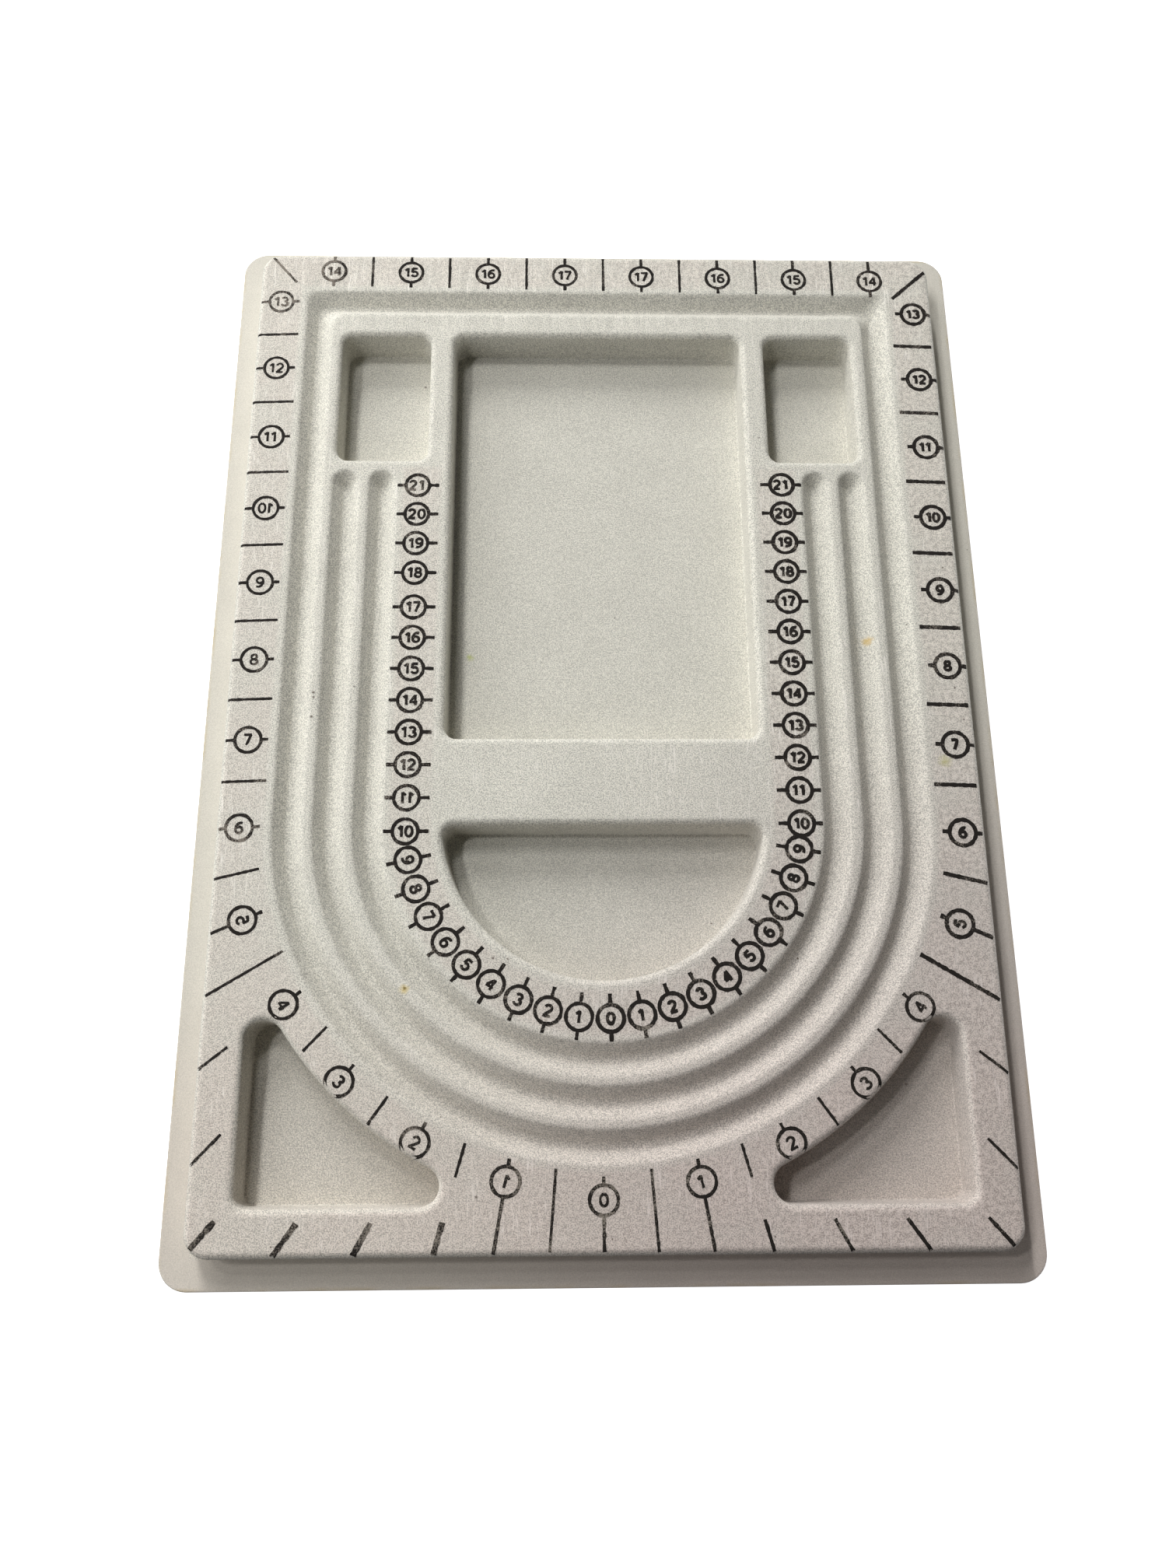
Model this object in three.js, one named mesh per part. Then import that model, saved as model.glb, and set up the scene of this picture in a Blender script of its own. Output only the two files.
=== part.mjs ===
// Bead board: a vacuum-formed plastic tray with a flocked upper side.
// Millimetres, +Z up, +Y away from the user, origin on the table under the middle of the footprint.
import * as THREE from 'three';
import { mergeVertices } from 'three/addons/utils/BufferGeometryUtils.js';

// Footprint, and height from the table to the top of the pile
const BOARD_WIDTH = 240;
const BOARD_LENGTH = 330;
const BOARD_HEIGHT = 13;

// Layers, from the table up
const SHEET_THICKNESS = 0.8;
const GLUE_THICKNESS = 0.2;
const FLOCK_THICKNESS = 0.5;

// Trimmed flange, and the corner of the top face inside it
const FLANGE_WIDTH = 8.5;
const FLANGE_CORNER = 8;
const TOP_CORNER = 4.7;

// Every formed wall: slope, bend of the sheet at the top and hollow at the foot
const DRAFT_DEGREES = 1.5;
const LIP_BEND = 0.5;
const FOOT_RADIUS = 0.35;

// Bead channels: three grooves with a narrow flat on each ridge
const CHANNELS = 3;
const GROOVE_WIDTH = 10.6;
const GROOVE_DEPTH = 3.6;
const RIDGE_FLAT = 0.8;
const RIDGE_BEND = 0.7;
const VALLEY_RADIUS = 2;
const LOOP_OUTER_CORNER = 3;
const LOOP_INNER_CORNER = 5;

// Flat bands of the top face that carry the scales and part the compartments
const SIDE_BAND = 12.75;
const FAR_BAND = 11.75;
const FRONT_BAND = 20;
const INNER_BAND = 14.2;
const PANEL_LENGTH = 22.3;
const FAR_RIM = 5;
const DIVIDER = 3.7;
const END_RIM = 1;
const CORNER_RIM = 8.3;
const ARC_BAND = 8.9;

// Compartments
const SMALL_LENGTH = 49.6;
const FLOOR_CORNER = 3;
const TIP_FLOOR_CORNER = 4.65;

// Steps in which round stretches are drawn
const BEND_STEPS = 24;
const MOON_STEPS = 16;
const TRAY_STEPS = 5;
const CORNER_STEPS = 3;
const CAP_STEPS = 4;
const LIP_STEPS = 3;
const FOOT_STEPS = 1;
const RIDGE_STEPS = 2;
const VALLEY_STEPS = 1;

// Angles
const QUARTER = Math.PI / 2;
const HALF = Math.PI;
const TURN = 2 * Math.PI;
const DRAFT = THREE.MathUtils.degToRad(DRAFT_DEGREES);

// Radii on the pile that follow from the layers under it
const STACK = SHEET_THICKNESS + GLUE_THICKNESS + FLOCK_THICKNESS;
const LIP_RADIUS = LIP_BEND + STACK;
const RIDGE_RADIUS = RIDGE_BEND + STACK;

// Run of a wall, level, from the edge of the top face to the edge of the floor
const LIP_CENTRE_Z = BOARD_HEIGHT - LIP_RADIUS;
const FOOT_CENTRE_Z = STACK + FOOT_RADIUS;
const BENDS = LIP_RADIUS + FOOT_RADIUS;
const WALL_SLOPE = LIP_CENTRE_Z - FOOT_CENTRE_Z + BENDS * Math.sin(DRAFT);
const WALL_RUN = BENDS * Math.cos(DRAFT) + WALL_SLOPE * Math.tan(DRAFT);

// Groove section: the two bends on one side of it meet on a common tangent
const GROOVE_HALF = GROOVE_WIDTH / 2;
const BEND_ROOM = (GROOVE_HALF ** 2 + GROOVE_DEPTH ** 2) / (2 * GROOVE_DEPTH);
const VALLEY_BEND = Math.min(VALLEY_RADIUS, BEND_ROOM - RIDGE_RADIUS);
const BEND_SUM = RIDGE_RADIUS + VALLEY_BEND;
const BEND_RISE = BEND_SUM - GROOVE_DEPTH;
const GROOVE_SLOPE = Math.asin(BEND_SUM / Math.hypot(GROOVE_HALF, BEND_RISE)) - Math.atan2(BEND_RISE, GROOVE_HALF);

// Layout, worked out from the outside in
const TOP_X = BOARD_WIDTH / 2 - FLANGE_WIDTH - WALL_RUN;
const TOP_Y = BOARD_LENGTH / 2 - FLANGE_WIDTH - WALL_RUN;
const PITCH = GROOVE_WIDTH + RIDGE_FLAT;
const LOOP_X = TOP_X - SIDE_BAND - GROOVE_HALF;
const LOOP_Y = TOP_Y - FAR_BAND - GROOVE_HALF;
const BEND_Y = -TOP_Y + FRONT_BAND + GROOVE_HALF + LOOP_X;
const INNER_EDGE = LOOP_X - PITCH * (CHANNELS - 1) - GROOVE_HALF;
const MAIN_X = INNER_EDGE - INNER_BAND;
const MAIN_NEAR_Y = BEND_Y + PANEL_LENGTH;
const FAR_Y = LOOP_Y - GROOVE_HALF - FAR_RIM;
const SMALL_INNER_X = MAIN_X + DIVIDER;
const SMALL_OUTER_X = LOOP_X - GROOVE_HALF - RIDGE_FLAT;
const SMALL_NEAR_Y = FAR_Y - SMALL_LENGTH;
const CHANNEL_END_Y = SMALL_NEAR_Y - END_RIM - GROOVE_HALF;
const TRAY_X = TOP_X - CORNER_RIM;
const TRAY_NEAR_Y = -TOP_Y + CORNER_RIM;
const TRAY_ARC = LOOP_X + GROOVE_HALF + ARC_BAND;
const CORNER = FLOOR_CORNER + WALL_RUN;
const TIP = TIP_FLOOR_CORNER + WALL_RUN;

// One round stretch of an outline, counter-clockwise unless its end angle is the smaller one
function arc(x, y, radius, from, to, steps) {
  return new THREE.ArcCurve(x, y, radius, from, to, to < from).getPoints(steps);
}

// Rectangle with round corners, grown by a distance
function rectangle(left, right, near, far, corner, grow) {
  const radius = corner + grow;
  return [
    ...arc(left + corner, near + corner, radius, HALF, 3 * QUARTER, CORNER_STEPS),
    ...arc(right - corner, near + corner, radius, 3 * QUARTER, TURN, CORNER_STEPS),
    ...arc(right - corner, far - corner, radius, 0, QUARTER, CORNER_STEPS),
    ...arc(left + corner, far - corner, radius, QUARTER, HALF, CORNER_STEPS),
  ];
}

const flangeOutline = () =>
  rectangle(-BOARD_WIDTH / 2, BOARD_WIDTH / 2, -BOARD_LENGTH / 2, BOARD_LENGTH / 2, FLANGE_CORNER, 0);
const topOutline = (grow) => rectangle(-TOP_X, TOP_X, -TOP_Y, TOP_Y, TOP_CORNER, grow);
const mainOutline = (grow) => rectangle(-MAIN_X, MAIN_X, MAIN_NEAR_Y, FAR_Y, CORNER, grow);
const smallRightOutline = (grow) =>
  rectangle(SMALL_INNER_X, SMALL_OUTER_X, SMALL_NEAR_Y, FAR_Y, CORNER, grow);

// Half-moon compartment: a half disc about the centre of the bend, with its two corners rounded
function moonOutline(grow) {
  const y = BEND_Y - CORNER;
  const x = Math.sqrt((MAIN_X - CORNER) ** 2 - CORNER ** 2);
  const lean = Math.atan2(CORNER, x);
  return [
    ...arc(-x, y, CORNER + grow, QUARTER, HALF + lean, CORNER_STEPS),
    ...arc(0, BEND_Y, MAIN_X + grow, HALF + lean, TURN - lean, MOON_STEPS).slice(1, -1),
    ...arc(x, y, CORNER + grow, TURN - lean, TURN + QUARTER, CORNER_STEPS),
  ];
}

// Corner tray on the left: two straight sides, and a side that follows the bend between two round tips
function trayLeftOutline(grow) {
  const reach = TRAY_ARC + TIP;
  const nearTip = new THREE.Vector2(0, TRAY_NEAR_Y + TIP);
  nearTip.x = -Math.sqrt(reach ** 2 - (nearTip.y - BEND_Y) ** 2);
  const farTip = new THREE.Vector2(-TRAY_X + TIP, 0);
  farTip.y = BEND_Y - Math.sqrt(reach ** 2 - farTip.x ** 2);
  const nearTurn = Math.atan2(BEND_Y - nearTip.y, -nearTip.x);
  const farTurn = Math.atan2(BEND_Y - farTip.y, -farTip.x);
  return [
    ...arc(-TRAY_X + CORNER, TRAY_NEAR_Y + CORNER, CORNER + grow, HALF, 3 * QUARTER, CORNER_STEPS),
    ...arc(nearTip.x, nearTip.y, TIP + grow, 3 * QUARTER, TURN + nearTurn, CAP_STEPS),
    ...arc(0, BEND_Y, TRAY_ARC - grow, HALF + nearTurn, HALF + farTurn, TRAY_STEPS).slice(1, -1),
    ...arc(farTip.x, farTip.y, TIP + grow, farTurn, HALF, CAP_STEPS),
  ];
}

// The same outline on the other side of the board, still counter-clockwise
function mirrored(outline) {
  return (grow) => outline(grow).map((p) => new THREE.Vector2(-p.x, p.y)).reverse();
}

// Outer channel: a closed loop, drawn at a distance outside its centre line
function loopOutline(out) {
  const share = (out + GROOVE_HALF) / GROOVE_WIDTH;
  const radius = THREE.MathUtils.lerp(LOOP_INNER_CORNER, LOOP_OUTER_CORNER, share);
  const x = LOOP_X + out - radius;
  const y = LOOP_Y + out - radius;
  return [
    ...arc(0, BEND_Y, LOOP_X + out, HALF, TURN, BEND_STEPS),
    ...arc(x, y, radius, 0, QUARTER, CORNER_STEPS),
    ...arc(-x, y, radius, QUARTER, HALF, CORNER_STEPS),
  ];
}

// Inner channel: a U with round ends, drawn at a distance on both sides of its centre line
function channelOutline(radius, out) {
  return [
    ...arc(0, BEND_Y, radius + out, HALF, TURN, BEND_STEPS),
    ...arc(radius, CHANNEL_END_Y, out, 0, HALF, CAP_STEPS),
    ...arc(0, BEND_Y, radius - out, TURN, HALF, BEND_STEPS),
    ...arc(-radius, CHANNEL_END_Y, out, 0, HALF, CAP_STEPS),
  ];
}

// Section of a wall below the pile by a given depth: run from the top face's edge (x), height (y)
function wallSection(depth) {
  return [
    ...arc(0, LIP_CENTRE_Z, LIP_RADIUS - depth, QUARTER, DRAFT, LIP_STEPS),
    ...arc(WALL_RUN, FOOT_CENTRE_Z, FOOT_RADIUS + depth, HALF + DRAFT, 3 * QUARTER, FOOT_STEPS),
  ];
}

// Section of half a groove below the pile by a given depth: distance from its centre (x), height (y)
function grooveSection(depth) {
  const ridgeZ = BOARD_HEIGHT - RIDGE_RADIUS;
  const valleyZ = BOARD_HEIGHT - GROOVE_DEPTH + VALLEY_BEND;
  const valleyStart = 3 * QUARTER + GROOVE_SLOPE;
  return [
    ...arc(GROOVE_HALF, ridgeZ, RIDGE_RADIUS - depth, QUARTER, QUARTER + GROOVE_SLOPE, RIDGE_STEPS),
    ...arc(0, valleyZ, VALLEY_BEND + depth, valleyStart, 3 * QUARTER, VALLEY_STEPS),
  ];
}

// A sheet of triangles that face up, gathered piece by piece
class Sheet {
  constructor() {
    this.corners = [];
  }

  triangle(a, b, c) {
    this.corners.push(a, b, c);
  }

  // Loft between two loops of equal length, the outer one first
  band(outer, inner) {
    outer.forEach((point, i) => {
      const next = (i + 1) % outer.length;
      this.triangle(point, outer[next], inner[i]);
      this.triangle(outer[next], inner[next], inner[i]);
    });
  }

  // Flat face inside a loop, less the holes in it
  face(loop, holes = []) {
    const flat = (points) => points.map((p) => new THREE.Vector2(p.x, p.y));
    const points = [loop, ...holes].flat();
    for (const [a, b, c] of THREE.ShapeUtils.triangulateShape(flat(loop), holes.map(flat))) {
      this.triangle(points[a], points[b], points[c]);
    }
  }
}

const raise = (outline, z) => outline.map((p) => new THREE.Vector3(p.x, p.y, z));

// The board's upper surface, sunk below the top of the pile by a given depth
function boardSurface(depth) {
  const sheet = new Sheet();
  const wall = wallSection(depth);
  const groove = grooveSection(depth);

  // Loops lofted in order, from the top face inwards; the first one borders the top face
  function sink(loops) {
    loops.slice(1).forEach((loop, i) => sheet.band(loops[i], loop));
    return loops[0];
  }

  function compartment(outline) {
    const loops = wall.map((p) => raise(outline(-p.x), p.y));
    sheet.face(loops.at(-1));
    return sink(loops);
  }

  function innerChannel(radius) {
    return sink(groove.map((p) => raise(channelOutline(radius, p.x), p.y)));
  }

  // Outer wall and flange, lofted outwards
  const skirt = wall.map((p) => raise(topOutline(p.x), p.y));
  skirt.push(raise(flangeOutline(), STACK - depth));
  sink([...skirt].reverse());

  // Outer channel, lofted from its outer ridge over the valley to its inner one
  const across = [...groove, ...groove.slice(0, -1).reverse().map((p) => new THREE.Vector2(-p.x, p.y))];
  const loop = across.map((p) => raise(loopOutline(p.x), p.y));
  sink(loop);

  const trays = [trayLeftOutline, mirrored(trayLeftOutline)].map(compartment);
  const island = [mainOutline, moonOutline, smallRightOutline, mirrored(smallRightOutline)].map(compartment);
  for (let i = 1; i < CHANNELS; i += 1) {
    island.push(innerChannel(LOOP_X - PITCH * i));
  }
  sheet.face(skirt[0], [loop[0], ...trays]);
  sheet.face(loop.at(-1), island);
  return { sheet, rim: skirt.at(-1) };
}

// One layer of the board, between two depths below the top of the pile, closed at the trimmed edge
function layer(name, top, bottom, material) {
  const upper = boardSurface(top);
  const lower = boardSurface(bottom);
  const shell = new Sheet();
  shell.corners.push(...upper.sheet.corners);
  shell.corners.push(...lower.sheet.corners.reverse());
  shell.band(lower.rim, upper.rim);

  const soup = new THREE.BufferGeometry().setFromPoints(shell.corners);
  const geometry = mergeVertices(soup);
  const index = geometry.getIndex().array;
  const solid = [];
  for (let i = 0; i < index.length; i += 3) {
    const [a, b, c] = index.subarray(i, i + 3);
    if (a !== b && b !== c && c !== a) {
      solid.push(a, b, c);
    }
  }
  geometry.setIndex(solid);
  geometry.computeVertexNormals();
  const mesh = new THREE.Mesh(geometry, material);
  mesh.name = name;
  return mesh;
}

// Grey polystyrene sheet, and the warm grey pile on it
const polystyrene = new THREE.MeshStandardMaterial({ color: 0xa9a8a4, roughness: 0.45, metalness: 0 });
const flock = new THREE.MeshStandardMaterial({ color: 0xc6c4be, roughness: 1, metalness: 0 });

const board = new THREE.Group();
board.add(layer('formed_shell', FLOCK_THICKNESS + GLUE_THICKNESS, STACK, polystyrene));
board.add(layer('flock_layer', 0, FLOCK_THICKNESS, flock));

export default board;
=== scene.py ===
# Bead board: a flocked, vacuum-formed tray with inch and centimetre scales stamped on its flat lands.
import math

import bmesh
import bpy
from mathutils import Matrix, Vector, geometry


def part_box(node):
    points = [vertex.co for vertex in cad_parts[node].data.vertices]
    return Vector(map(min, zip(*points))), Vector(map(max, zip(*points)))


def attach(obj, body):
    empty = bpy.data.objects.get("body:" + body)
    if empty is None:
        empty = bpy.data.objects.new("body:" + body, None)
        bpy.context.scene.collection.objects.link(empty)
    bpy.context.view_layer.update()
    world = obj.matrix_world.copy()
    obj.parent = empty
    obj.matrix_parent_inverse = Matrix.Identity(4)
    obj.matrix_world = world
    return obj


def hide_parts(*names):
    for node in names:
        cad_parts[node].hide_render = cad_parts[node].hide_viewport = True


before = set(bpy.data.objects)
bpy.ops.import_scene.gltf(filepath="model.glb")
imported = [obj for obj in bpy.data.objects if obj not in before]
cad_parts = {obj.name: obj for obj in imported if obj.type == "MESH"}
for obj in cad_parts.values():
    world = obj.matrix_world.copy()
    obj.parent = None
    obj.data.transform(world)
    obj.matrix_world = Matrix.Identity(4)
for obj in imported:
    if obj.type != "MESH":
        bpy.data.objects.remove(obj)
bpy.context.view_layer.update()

# Everything is laid out in millimetres and made in metres
MM = 0.001

# Sizes of the board, as its solids have them
flock_low, flock_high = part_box("flock_layer")
BOARD_WIDTH = (flock_high.x - flock_low.x) / MM
BOARD_LENGTH = (flock_high.y - flock_low.y) / MM
BOARD_HEIGHT = flock_high.z / MM
SHEET_THICKNESS = 0.8
GLUE_THICKNESS = 0.2
FLOCK_THICKNESS = 0.5
STACK = SHEET_THICKNESS + GLUE_THICKNESS + FLOCK_THICKNESS
FLANGE_WIDTH = 8.5
FLANGE_CORNER = 8
TOP_CORNER = 4.7

# Every formed wall: slope, bend at the top and hollow at the foot
DRAFT = math.radians(1.5)
LIP_BEND = 0.5
LIP_RADIUS = LIP_BEND + STACK
FOOT_RADIUS = 0.35
LIP_CENTRE_Z = BOARD_HEIGHT - LIP_RADIUS
FOOT_CENTRE_Z = STACK + FOOT_RADIUS
BENDS = LIP_RADIUS + FOOT_RADIUS
WALL_SLOPE = LIP_CENTRE_Z - FOOT_CENTRE_Z + BENDS * math.sin(DRAFT)
WALL_RUN = BENDS * math.cos(DRAFT) + WALL_SLOPE * math.tan(DRAFT)

# Bead channels: the two bends on one side of a groove meet on a common tangent
CHANNELS = 3
GROOVE_WIDTH = 10.6
GROOVE_DEPTH = 3.6
GROOVE_HALF = GROOVE_WIDTH / 2
RIDGE_FLAT = 0.8
RIDGE_BEND = 0.7
RIDGE_RADIUS = RIDGE_BEND + STACK
VALLEY_RADIUS = 2
BEND_SUM = RIDGE_RADIUS + VALLEY_RADIUS
BEND_RISE = BEND_SUM - GROOVE_DEPTH
GROOVE_SLOPE = math.asin(BEND_SUM / math.hypot(GROOVE_HALF, BEND_RISE)) - math.atan2(BEND_RISE, GROOVE_HALF)
LOOP_OUTER_CORNER = 3
LOOP_INNER_CORNER = 5

# Flat bands of the top face, and the compartments
SIDE_BAND = 12.75
FAR_BAND = 11.75
FRONT_BAND = 20
INNER_BAND = 14.2
PANEL_LENGTH = 22.3
FAR_RIM = 5
DIVIDER = 3.7
END_RIM = 1
CORNER_RIM = 8.3
ARC_BAND = 8.9
SMALL_LENGTH = 49.6
FLOOR_CORNER = 3
TIP_FLOOR_CORNER = 4.65
CORNER = FLOOR_CORNER + WALL_RUN
TIP = TIP_FLOOR_CORNER + WALL_RUN

# Layout, worked out from the outside in
TOP_X = BOARD_WIDTH / 2 - FLANGE_WIDTH - WALL_RUN
TOP_Y = BOARD_LENGTH / 2 - FLANGE_WIDTH - WALL_RUN
PITCH = GROOVE_WIDTH + RIDGE_FLAT
LOOP_X = TOP_X - SIDE_BAND - GROOVE_HALF
LOOP_Y = TOP_Y - FAR_BAND - GROOVE_HALF
BEND_Y = -TOP_Y + FRONT_BAND + GROOVE_HALF + LOOP_X
INNER_EDGE = LOOP_X - PITCH * (CHANNELS - 1) - GROOVE_HALF
MAIN_X = INNER_EDGE - INNER_BAND
MAIN_NEAR_Y = BEND_Y + PANEL_LENGTH
FAR_Y = LOOP_Y - GROOVE_HALF - FAR_RIM
SMALL_INNER_X = MAIN_X + DIVIDER
SMALL_OUTER_X = LOOP_X - GROOVE_HALF - RIDGE_FLAT
SMALL_NEAR_Y = FAR_Y - SMALL_LENGTH
CHANNEL_END_Y = SMALL_NEAR_Y - END_RIM - GROOVE_HALF
TRAY_X = TOP_X - CORNER_RIM
TRAY_NEAR_Y = -TOP_Y + CORNER_RIM
TRAY_ARC = LOOP_X + GROOVE_HALF + ARC_BAND

# Steps in which round stretches are drawn, and the strip that keeps a flat face level up to its bend
BEND_STEPS = 96
MOON_STEPS = 64
TRAY_STEPS = 24
CORNER_STEPS = 10
CAP_STEPS = 16
LIP_STEPS = 8
FOOT_STEPS = 5
RIDGE_STEPS = 6
VALLEY_STEPS = 4
LEVEL_STRIP = 0.3

# The pile closes over the trimmed edge of the sheet with a small round, just clear of the sheet
PILE_DEPTH = 0.69
PILE_ROUND = 0.4
PILE_STEPS = 4

QUARTER = math.pi / 2
HALF = math.pi
TURN = 2 * math.pi


def arc(x, y, radius, start, end, steps):
    """One round stretch of an outline."""
    angles = [start + (end - start) * i / steps for i in range(steps + 1)]
    return [(x + radius * math.cos(a), y + radius * math.sin(a)) for a in angles]


def rectangle(left, right, near, far, corner, grow):
    """Rectangle with round corners, grown by a distance."""
    radius = corner + grow
    return (
        arc(left + corner, near + corner, radius, HALF, 3 * QUARTER, CORNER_STEPS)
        + arc(right - corner, near + corner, radius, 3 * QUARTER, TURN, CORNER_STEPS)
        + arc(right - corner, far - corner, radius, 0, QUARTER, CORNER_STEPS)
        + arc(left + corner, far - corner, radius, QUARTER, HALF, CORNER_STEPS)
    )


def flange_outline(grow):
    x = BOARD_WIDTH / 2
    y = BOARD_LENGTH / 2
    return rectangle(-x - grow, x + grow, -y - grow, y + grow, FLANGE_CORNER + grow, 0)


def top_outline(grow):
    return rectangle(-TOP_X, TOP_X, -TOP_Y, TOP_Y, TOP_CORNER, grow)


def main_outline(grow):
    return rectangle(-MAIN_X, MAIN_X, MAIN_NEAR_Y, FAR_Y, CORNER, grow)


def small_right_outline(grow):
    return rectangle(SMALL_INNER_X, SMALL_OUTER_X, SMALL_NEAR_Y, FAR_Y, CORNER, grow)


def moon_outline(grow):
    """Half-moon compartment: a half disc about the centre of the bend, with its two corners rounded."""
    y = BEND_Y - CORNER
    x = math.sqrt((MAIN_X - CORNER) ** 2 - CORNER ** 2)
    lean = math.atan2(CORNER, x)
    return (
        arc(-x, y, CORNER + grow, QUARTER, HALF + lean, CORNER_STEPS)
        + arc(0, BEND_Y, MAIN_X + grow, HALF + lean, TURN - lean, MOON_STEPS)[1:-1]
        + arc(x, y, CORNER + grow, TURN - lean, TURN + QUARTER, CORNER_STEPS)
    )


def tray_left_outline(grow):
    """Corner tray: two straight sides, and a side that follows the bend between two round tips."""
    reach = TRAY_ARC + TIP
    near_y = TRAY_NEAR_Y + TIP
    near_x = -math.sqrt(reach ** 2 - (near_y - BEND_Y) ** 2)
    far_x = -TRAY_X + TIP
    far_y = BEND_Y - math.sqrt(reach ** 2 - far_x ** 2)
    near_turn = math.atan2(BEND_Y - near_y, -near_x)
    far_turn = math.atan2(BEND_Y - far_y, -far_x)
    return (
        arc(-TRAY_X + CORNER, TRAY_NEAR_Y + CORNER, CORNER + grow, HALF, 3 * QUARTER, CORNER_STEPS)
        + arc(near_x, near_y, TIP + grow, 3 * QUARTER, TURN + near_turn, CAP_STEPS)
        + arc(0, BEND_Y, TRAY_ARC - grow, HALF + near_turn, HALF + far_turn, TRAY_STEPS)[1:-1]
        + arc(far_x, far_y, TIP + grow, far_turn, HALF, CAP_STEPS)
    )


def mirrored(outline):
    """The same outline on the other side of the board, still counter-clockwise."""
    return lambda grow: [(-x, y) for x, y in outline(grow)][::-1]


def loop_outline(out):
    """Outer channel: a closed loop, at a distance outside its centre line."""
    share = (out + GROOVE_HALF) / GROOVE_WIDTH
    radius = LOOP_INNER_CORNER + (LOOP_OUTER_CORNER - LOOP_INNER_CORNER) * share
    x = LOOP_X + out - radius
    y = LOOP_Y + out - radius
    return (
        arc(0, BEND_Y, LOOP_X + out, HALF, TURN, BEND_STEPS)
        + arc(x, y, radius, 0, QUARTER, CORNER_STEPS)
        + arc(-x, y, radius, QUARTER, HALF, CORNER_STEPS)
    )


def channel_outline(radius, out):
    """Inner channel: a U with round ends, at a distance on both sides of its centre line."""
    return (
        arc(0, BEND_Y, radius + out, HALF, TURN, BEND_STEPS)
        + arc(radius, CHANNEL_END_Y, out, 0, HALF, CAP_STEPS)
        + arc(0, BEND_Y, radius - out, TURN, HALF, BEND_STEPS)
        + arc(-radius, CHANNEL_END_Y, out, 0, HALF, CAP_STEPS)
    )


def wall_section(depth):
    """A wall, sunk below the pile by a depth: run from the edge of the top face, and height."""
    lip = arc(0, LIP_CENTRE_Z, LIP_RADIUS - depth, QUARTER, DRAFT, LIP_STEPS)
    foot = arc(WALL_RUN, FOOT_CENTRE_Z, FOOT_RADIUS + depth, HALF + DRAFT, 3 * QUARTER, FOOT_STEPS)
    start = (-LEVEL_STRIP, BOARD_HEIGHT - depth)
    end = (WALL_RUN + LEVEL_STRIP, STACK - depth)
    return [start, *lip, *foot, end]


def groove_section(depth):
    """Half a groove, sunk below the pile by a depth: distance from its centre, and height."""
    ridge_z = BOARD_HEIGHT - RIDGE_RADIUS
    valley_z = BOARD_HEIGHT - GROOVE_DEPTH + VALLEY_RADIUS
    ridge = arc(GROOVE_HALF, ridge_z, RIDGE_RADIUS - depth, QUARTER, QUARTER + GROOVE_SLOPE, RIDGE_STEPS)
    valley = arc(0, valley_z, VALLEY_RADIUS + depth, 3 * QUARTER - GROOVE_SLOPE, 3 * QUARTER, VALLEY_STEPS)
    slope_side = [(-x, z) for x, z in valley]
    start = (GROOVE_HALF + LEVEL_STRIP, BOARD_HEIGHT - depth)
    return [start, *ridge, *slope_side]


class FormedSkin:
    """Points and faces of a formed skin, gathered loop by loop, in millimetres."""

    def __init__(self):
        self.points = []
        self.faces = []

    def loop(self, outline, z):
        start = len(self.points)
        self.points += [(x, y, z) for x, y in outline]
        return list(range(start, len(self.points)))

    def band(self, outer, inner):
        count = len(outer)
        for i in range(count):
            j = (i + 1) % count
            self.faces.append((outer[i], outer[j], inner[j], inner[i]))

    def loft(self, loops):
        for outer, inner in zip(loops, loops[1:]):
            self.band(outer, inner)

    def level_face(self, outer, holes=()):
        rings = [outer, *holes]
        corners = [index for ring in rings for index in ring]
        flat = [[Vector(self.points[index]) for index in ring] for ring in rings]
        for triangle in geometry.tessellate_polygon(flat):
            a, b, c = [Vector(self.points[corners[i]]) for i in triangle]
            facing_up = (b - a).cross(c - a).z > 0
            face = [corners[i] for i in triangle]
            self.faces.append(face if facing_up else face[::-1])


def add_side(skin, depth, rim):
    """One side of the board, sunk below the pile by a depth; rim leads it out to the trimmed edge."""
    wall = wall_section(depth)
    groove = groove_section(depth)

    def compartment(outline):
        loops = [skin.loop(outline(-run), z) for run, z in wall]
        skin.loft(loops)
        skin.level_face(loops[-1])
        return loops[0]

    skirt = [skin.loop(top_outline(run), z) for run, z in wall]
    skirt += [skin.loop(flange_outline(grow), z) for grow, z in rim]
    skin.loft(skirt[::-1])

    across = groove + [(-out, z) for out, z in groove[-2::-1]]
    loop = [skin.loop(loop_outline(out), z) for out, z in across]
    skin.loft(loop)

    trays = [compartment(tray_left_outline), compartment(mirrored(tray_left_outline))]
    skin.level_face(skirt[0], [loop[0], *trays])

    island = [
        compartment(main_outline),
        compartment(moon_outline),
        compartment(small_right_outline),
        compartment(mirrored(small_right_outline)),
    ]
    for i in range(1, CHANNELS):
        channel = [skin.loop(channel_outline(LOOP_X - PITCH * i, out), z) for out, z in groove]
        skin.loft(channel)
        island.append(channel[0])
    skin.level_face(loop[-1], island)
    return skirt[-1]


# Faces that meet at more than this keep a crisp edge between them
CRISP_ANGLE = math.radians(35)
WELD = 0.001 * MM


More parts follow.
